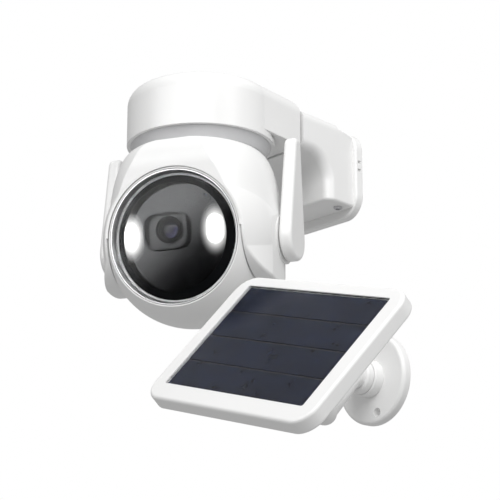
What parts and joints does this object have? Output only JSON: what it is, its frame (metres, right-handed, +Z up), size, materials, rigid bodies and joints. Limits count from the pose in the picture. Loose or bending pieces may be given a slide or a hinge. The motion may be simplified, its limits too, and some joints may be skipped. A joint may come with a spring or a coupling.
{
  "type": "solar-powered security camera",
  "caption": "Pan-and-tilt ball camera hung under a round housing on a wall bracket, with a small solar panel on its own wall arm.",
  "frame": {"origin": "centre of the back face of the camera's wall plate", "axes": "+Y into the wall, +Z up, +X to the right as seen when facing the wall"},
  "size_m": [0.2225, 0.1624, 0.213],
  "materials": {
    "white_shell": "fine-grained white moulding, satin",
    "grey_trim": "light grey moulding, satin",
    "silver_trim": "satin silver",
    "black_trim": "gloss black",
    "dark_plastic": "fine matt black",
    "clear_cover": "clear, faintly tinted",
    "lens_glass": "coated lens",
    "lamp_lens": "clear, lit from behind",
    "lamp_emitter": "light-emitting chip",
    "reflector": "bright",
    "circuit_board": "solder mask",
    "motor_metal": "zinc-plated",
    "brass": "turned",
    "gear_plastic": "natural acetal",
    "screw_steel": "bright zinc",
    "battery_wrap": "shrink wrap",
    "rubber": "white silicone rubber",
    "black_rubber": "matt black rubber",
    "solar_cell": "dark blue silicon",
    "panel_cover": "clear, anti-reflective"
  },
  "bodies": {
    "root": {"wall_plate": "white_shell", "bracket_arm": "white_shell", "bracket_lock_screw": "screw_steel", "bracket_tongue": "motor_metal", "tongue_screws": "screw_steel", "top_housing": "white_shell", "base_plate": "white_shell", "neck_ring": "grey_trim", "pan_bearing": "brass", "pan_motor": "motor_metal", "battery_cells": "battery_wrap", "battery_cradle": "dark_plastic", "power_board": "circuit_board", "charge_socket": "motor_metal", "power_switch": "dark_plastic", "solar_base": "white_shell"},
    "pan_drive": {"pan_pinion": "gear_plastic"},
    "pan_head": {"pan_turntable": "dark_plastic", "pan_gear": "gear_plastic", "hood": "white_shell", "tilt_axle_right": "dark_plastic", "tilt_axle_left": "dark_plastic", "tilt_gear": "gear_plastic"},
    "right_antenna": {"antenna_right": "white_shell"},
    "left_antenna": {"antenna_left": "white_shell"},
    "tilt_ball": {"ball_front": "white_shell", "ball_rear": "white_shell", "trim_ring": "silver_trim", "front_glass": "clear_cover", "glass_border": "black_trim", "inner_plate": "dark_plastic", "lens_housing": "dark_plastic", "lens_barrel": "black_trim", "lens_front_element": "lens_glass", "sensor_board": "circuit_board", "lamp_reflectors": "reflector", "lamp_chips": "lamp_emitter", "lamp_lenses": "lamp_lens", "lamp_board": "circuit_board", "light_sensor": "lens_glass", "main_board": "circuit_board", "loudspeaker": "black_rubber", "tilt_motor": "motor_metal"},
    "tilt_drive": {"tilt_pinion": "gear_plastic"},
    "flap": {"charge_flap": "rubber"},
    "button": {"power_button": "grey_trim"},
    "arm": {"solar_arm": "white_shell"},
    "liner": {"ball_liner": "dark_plastic"},
    "socket": {"panel_socket": "white_shell", "pivot_clip": "screw_steel"},
    "collar": {"locking_collar": "white_shell"},
    "panel": {"panel_frame": "white_shell", "panel_glass": "panel_cover", "solar_cells": "solar_cell", "panel_back": "white_shell", "panel_screws": "screw_steel", "junction_box": "white_shell", "cable_gland": "black_rubber"}
  },
  "joints": [
    {"name": "pan", "type": "hinge", "parent": "root", "child": "pan_head", "pos_m": [0, -0.0934, 0], "axis": [0, 0, 1], "range_deg": [-205, 149]},
    {"name": "pan_pinion_spin", "type": "hinge", "parent": "root", "child": "pan_drive", "pos_m": [0.0275, -0.0934, 0], "axis": [0, 0, 1], "range_deg": [-600, 824]},
    {"name": "tilt", "type": "hinge", "parent": "pan_head", "child": "tilt_ball", "pos_m": [0.00422, -0.10135, -0.0545], "axis": [0.8829, 0.4695, 0], "range_deg": [-24, 66]},
    {"name": "tilt_pinion_spin", "type": "hinge", "parent": "tilt_ball", "child": "tilt_drive", "pos_m": [-0.00124, -0.09106, -0.06296], "axis": [0.8829, 0.4695, 0], "range_deg": [-50, 134]},
    {"name": "right_antenna_turn", "type": "hinge", "parent": "pan_head", "child": "right_antenna", "pos_m": [-0.00094, -0.09163, -0.0545], "axis": [0.8829, 0.4695, 0], "range_deg": [-90, 90]},
    {"name": "left_antenna_turn", "type": "hinge", "parent": "pan_head", "child": "left_antenna", "pos_m": [-0.00094, -0.09163, -0.0545], "axis": [0.8829, 0.4695, 0], "range_deg": [-90, 90]},
    {"name": "charge_flap_turn", "type": "hinge", "parent": "root", "child": "flap", "pos_m": [-0.03705, -0.08118, 0.016], "axis": [0, 0, 1], "range_deg": [0, 90]},
    {"name": "power_button_press", "type": "slide", "parent": "root", "child": "button", "axis": [0.9789, -0.2043, 0], "range_m": [0, 0.0006], "stiffness_N_per_m": 300},
    {"name": "arm_swing", "type": "hinge", "parent": "root", "child": "arm", "pos_m": [0.0366, -0.011, -0.1185], "axis": [0, 1, 0], "range_deg": [0, 60]},
    {"name": "panel_yaw", "type": "hinge", "parent": "arm", "child": "liner", "pos_m": [0.09994, -0.11666, -0.14564], "axis": [0, 0, 1], "range_deg": [-20, 20]},
    {"name": "panel_pitch", "type": "hinge", "parent": "liner", "child": "socket", "pos_m": [0.09994, -0.11666, -0.14564], "axis": [1, 0, 0], "range_deg": [-20, 20]},
    {"name": "panel_roll", "type": "hinge", "parent": "socket", "child": "panel", "pos_m": [0.09994, -0.11666, -0.14564], "axis": [0.115, -0.8058, 0.5809], "range_deg": [-90, 90]},
    {"name": "collar_turn", "type": "hinge", "parent": "socket", "child": "collar", "pos_m": [0.09994, -0.11666, -0.14564], "axis": [0.115, -0.8058, 0.5809], "range_deg": [0, 90]}
  ],
  "couplings": [
    {"joint": "pan_pinion_spin", "follows": "pan", "ratio": -4},
    {"joint": "tilt_pinion_spin", "follows": "tilt", "ratio": 2}
  ]
}
